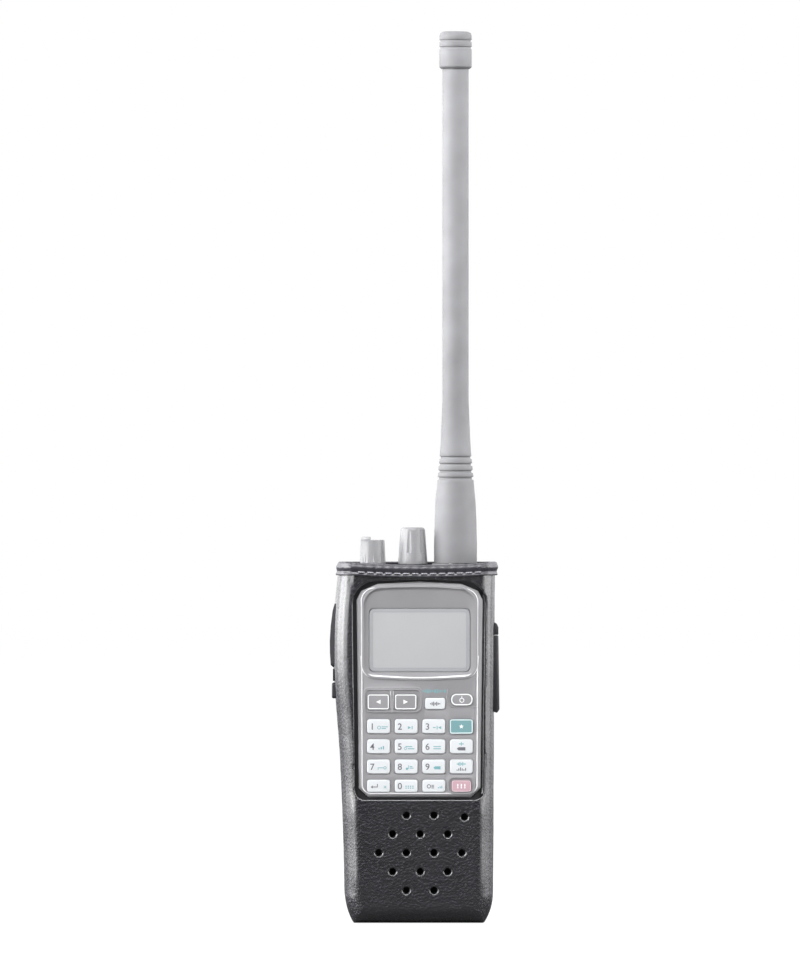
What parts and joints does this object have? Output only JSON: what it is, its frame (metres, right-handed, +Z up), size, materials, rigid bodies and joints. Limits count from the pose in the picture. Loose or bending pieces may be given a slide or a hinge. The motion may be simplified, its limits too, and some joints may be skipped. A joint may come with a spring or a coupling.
{
  "type": "handheld aviation radio",
  "caption": "Handheld air-band radio with keypad, display, two top knobs and a tall whip antenna, standing in a windowed black leather carrying case with a belt loop.",
  "frame": {"origin": "on the ground at the middle of the case's sole, midway front to back of the radio", "axes": "+Z up along the antenna, front with the keypad facing -Y, +X to the right seen from the front"},
  "size_m": [0.0629, 0.0476, 0.3307],
  "materials": {
    "case_leather": "fine pebble grain, satin",
    "binding_leather": "folded strip, satin",
    "thread": "waxed thread",
    "rivet_metal": "polished",
    "face_plastic": "light grey, fine texture",
    "housing_plastic": "black, fine texture",
    "chassis_metal": "cast, satin",
    "seal_rubber": "matte",
    "screw_steel": "zinc plated",
    "window_lens": "clear acrylic, polished",
    "lcd_glass": "pale grey",
    "key_white": "satin",
    "key_teal": "satin",
    "key_pink": "satin",
    "key_grey": "satin",
    "circuit_board": "solder mask green",
    "speaker_black": "matte",
    "mic_metal": "satin",
    "knob_plastic": "light grey, fine texture",
    "shaft_metal": "turned",
    "control_metal": "plated",
    "antenna_rubber": "light grey, satin",
    "connector_metal": "nickel plated",
    "radiator_metal": "drawn",
    "button_rubber": "matte",
    "jack_plastic": "black",
    "battery_plastic": "black, fine texture",
    "cell_wrap": "printed sleeve"
  },
  "bodies": {
    "radio_in_case": {"antenna_seat": "face_plastic", "antenna_socket": "connector_metal", "battery_case": "battery_plastic", "battery_cells": "cell_wrap", "belt_loop": "binding_leather", "belt_rivets": "rivet_metal", "case_back_panel": "case_leather", "case_shell": "case_leather", "case_stitching": "thread", "dial_encoder": "control_metal", "display_window": "window_lens", "face_plate": "face_plastic", "front_housing": "housing_plastic", "housing_gasket": "seal_rubber", "housing_screws": "screw_steel", "jack_block": "jack_plastic", "jack_cover_anchor": "button_rubber", "key_mat": "seal_rubber", "keypad_board": "circuit_board", "lcd_panel": "lcd_glass", "main_board": "circuit_board", "microphone": "mic_metal", "rear_chassis": "chassis_metal", "speaker": "speaker_black", "top_binding": "binding_leather", "top_panel": "housing_plastic", "volume_control": "control_metal"},
    "volume": {"volume_knob": "knob_plastic", "volume_shaft": "shaft_metal"},
    "dial": {"dial_knob": "knob_plastic", "dial_shaft": "shaft_metal"},
    "antenna_seal": {"antenna_gasket": "seal_rubber"},
    "antenna": {"antenna_sheath": "antenna_rubber", "antenna_cap": "antenna_rubber", "antenna_plug": "connector_metal", "antenna_element": "radiator_metal"},
    "talk_button": {"talk_button": "button_rubber"},
    "light_button": {"light_button": "button_rubber"},
    "jack_cover": {"jack_cover": "button_rubber"},
    "battery_latch": {"battery_latch": "battery_plastic"},
    "key_1": {"key_1": "key_white"},
    "key_2": {"key_2": "key_white"},
    "key_3": {"key_3": "key_white"},
    "key_4": {"key_4": "key_white"},
    "key_5": {"key_5": "key_white"},
    "key_6": {"key_6": "key_white"},
    "key_7": {"key_7": "key_white"},
    "key_8": {"key_8": "key_white"},
    "key_9": {"key_9": "key_white"},
    "key_0": {"key_0": "key_white"},
    "key_clear": {"key_clear": "key_white"},
    "key_scan": {"key_scan": "key_white"},
    "key_enter": {"key_enter": "key_white"},
    "key_recall": {"key_recall": "key_white"},
    "key_left": {"key_left": "key_grey"},
    "key_right": {"key_right": "key_grey"},
    "key_squelch": {"key_squelch": "key_white"},
    "key_function": {"key_function": "key_teal"},
    "key_emergency": {"key_emergency": "key_pink"},
    "key_power": {"key_power": "key_grey"}
  },
  "joints": [
    {"name": "key_1_press", "type": "slide", "parent": "radio_in_case", "child": "key_1", "axis": [0, 1, 0], "range_m": [0, 0.0007], "stiffness_N_per_m": 2000},
    {"name": "key_2_press", "type": "slide", "parent": "radio_in_case", "child": "key_2", "axis": [0, 1, 0], "range_m": [0, 0.0007], "stiffness_N_per_m": 2000},
    {"name": "key_3_press", "type": "slide", "parent": "radio_in_case", "child": "key_3", "axis": [0, 1, 0], "range_m": [0, 0.0007], "stiffness_N_per_m": 2000},
    {"name": "key_4_press", "type": "slide", "parent": "radio_in_case", "child": "key_4", "axis": [0, 1, 0], "range_m": [0, 0.0007], "stiffness_N_per_m": 2000},
    {"name": "key_5_press", "type": "slide", "parent": "radio_in_case", "child": "key_5", "axis": [0, 1, 0], "range_m": [0, 0.0007], "stiffness_N_per_m": 2000},
    {"name": "key_6_press", "type": "slide", "parent": "radio_in_case", "child": "key_6", "axis": [0, 1, 0], "range_m": [0, 0.0007], "stiffness_N_per_m": 2000},
    {"name": "key_7_press", "type": "slide", "parent": "radio_in_case", "child": "key_7", "axis": [0, 1, 0], "range_m": [0, 0.0007], "stiffness_N_per_m": 2000},
    {"name": "key_8_press", "type": "slide", "parent": "radio_in_case", "child": "key_8", "axis": [0, 1, 0], "range_m": [0, 0.0007], "stiffness_N_per_m": 2000},
    {"name": "key_9_press", "type": "slide", "parent": "radio_in_case", "child": "key_9", "axis": [0, 1, 0], "range_m": [0, 0.0007], "stiffness_N_per_m": 2000},
    {"name": "key_0_press", "type": "slide", "parent": "radio_in_case", "child": "key_0", "axis": [0, 1, 0], "range_m": [0, 0.0007], "stiffness_N_per_m": 2000},
    {"name": "key_clear_press", "type": "slide", "parent": "radio_in_case", "child": "key_clear", "axis": [0, 1, 0], "range_m": [0, 0.0007], "stiffness_N_per_m": 2000},
    {"name": "key_scan_press", "type": "slide", "parent": "radio_in_case", "child": "key_scan", "axis": [0, 1, 0], "range_m": [0, 0.0007], "stiffness_N_per_m": 2000},
    {"name": "key_enter_press", "type": "slide", "parent": "radio_in_case", "child": "key_enter", "axis": [0, 1, 0], "range_m": [0, 0.0007], "stiffness_N_per_m": 2000},
    {"name": "key_recall_press", "type": "slide", "parent": "radio_in_case", "child": "key_recall", "axis": [0, 1, 0], "range_m": [0, 0.0007], "stiffness_N_per_m": 2000},
    {"name": "key_left_press", "type": "slide", "parent": "radio_in_case", "child": "key_left", "axis": [0, 1, 0], "range_m": [0, 0.0007], "stiffness_N_per_m": 2000},
    {"name": "key_right_press", "type": "slide", "parent": "radio_in_case", "child": "key_right", "axis": [0, 1, 0], "range_m": [0, 0.0007], "stiffness_N_per_m": 2000},
    {"name": "key_squelch_press", "type": "slide", "parent": "radio_in_case", "child": "key_squelch", "axis": [0, 1, 0], "range_m": [0, 0.0007], "stiffness_N_per_m": 2000},
    {"name": "key_function_press", "type": "slide", "parent": "radio_in_case", "child": "key_function", "axis": [0, 1, 0], "range_m": [0, 0.0007], "stiffness_N_per_m": 2000},
    {"name": "key_emergency_press", "type": "slide", "parent": "radio_in_case", "child": "key_emergency", "axis": [0, 1, 0], "range_m": [0, 0.0007], "stiffness_N_per_m": 2000},
    {"name": "key_power_press", "type": "slide", "parent": "radio_in_case", "child": "key_power", "axis": [0, 1, 0], "range_m": [0, 0.0007], "stiffness_N_per_m": 2000},
    {"name": "talk_button_press", "type": "slide", "parent": "radio_in_case", "child": "talk_button", "axis": [1, 0, 0], "range_m": [0, 0.001], "stiffness_N_per_m": 3000},
    {"name": "light_button_press", "type": "slide", "parent": "radio_in_case", "child": "light_button", "axis": [1, 0, 0], "range_m": [0, 0.0008], "stiffness_N_per_m": 2500},
    {"name": "volume_turn", "type": "hinge", "parent": "radio_in_case", "child": "volume", "pos_m": [-0.0174, 0.0025, 0.1327], "axis": [0, 0, 1], "range_deg": [-135, 135]},
    {"name": "dial_turn", "type": "hinge", "parent": "radio_in_case", "child": "dial", "pos_m": [-0.0025, 0.0025, 0.1327], "axis": [0, 0, 1], "continuous": true},
    {"name": "antenna_turn", "type": "hinge", "parent": "antenna_seal", "child": "antenna", "pos_m": [0.0134, 0.0035, 0.1328], "axis": [0, 0, 1], "range_deg": [0, 90]},
    {"name": "antenna_rise", "type": "slide", "parent": "radio_in_case", "child": "antenna_seal", "axis": [0, 0, 1], "range_m": [0, 0.0022]},
    {"name": "jack_cover_lift", "type": "hinge", "parent": "radio_in_case", "child": "jack_cover", "pos_m": [0.0292, -0.0086, 0.1064], "axis": [0, -1, 0], "range_deg": [0, 100], "stiffness_Nm_per_rad": 0.0015},
    {"name": "battery_latch_slide", "type": "slide", "parent": "radio_in_case", "child": "battery_latch", "axis": [0, 0, 1], "range_m": [0, 0.002], "stiffness_N_per_m": 800}
  ],
  "couplings": [
    {"joint": "antenna_turn", "follows": "antenna_rise", "rad_per_m": 714}
  ]
}
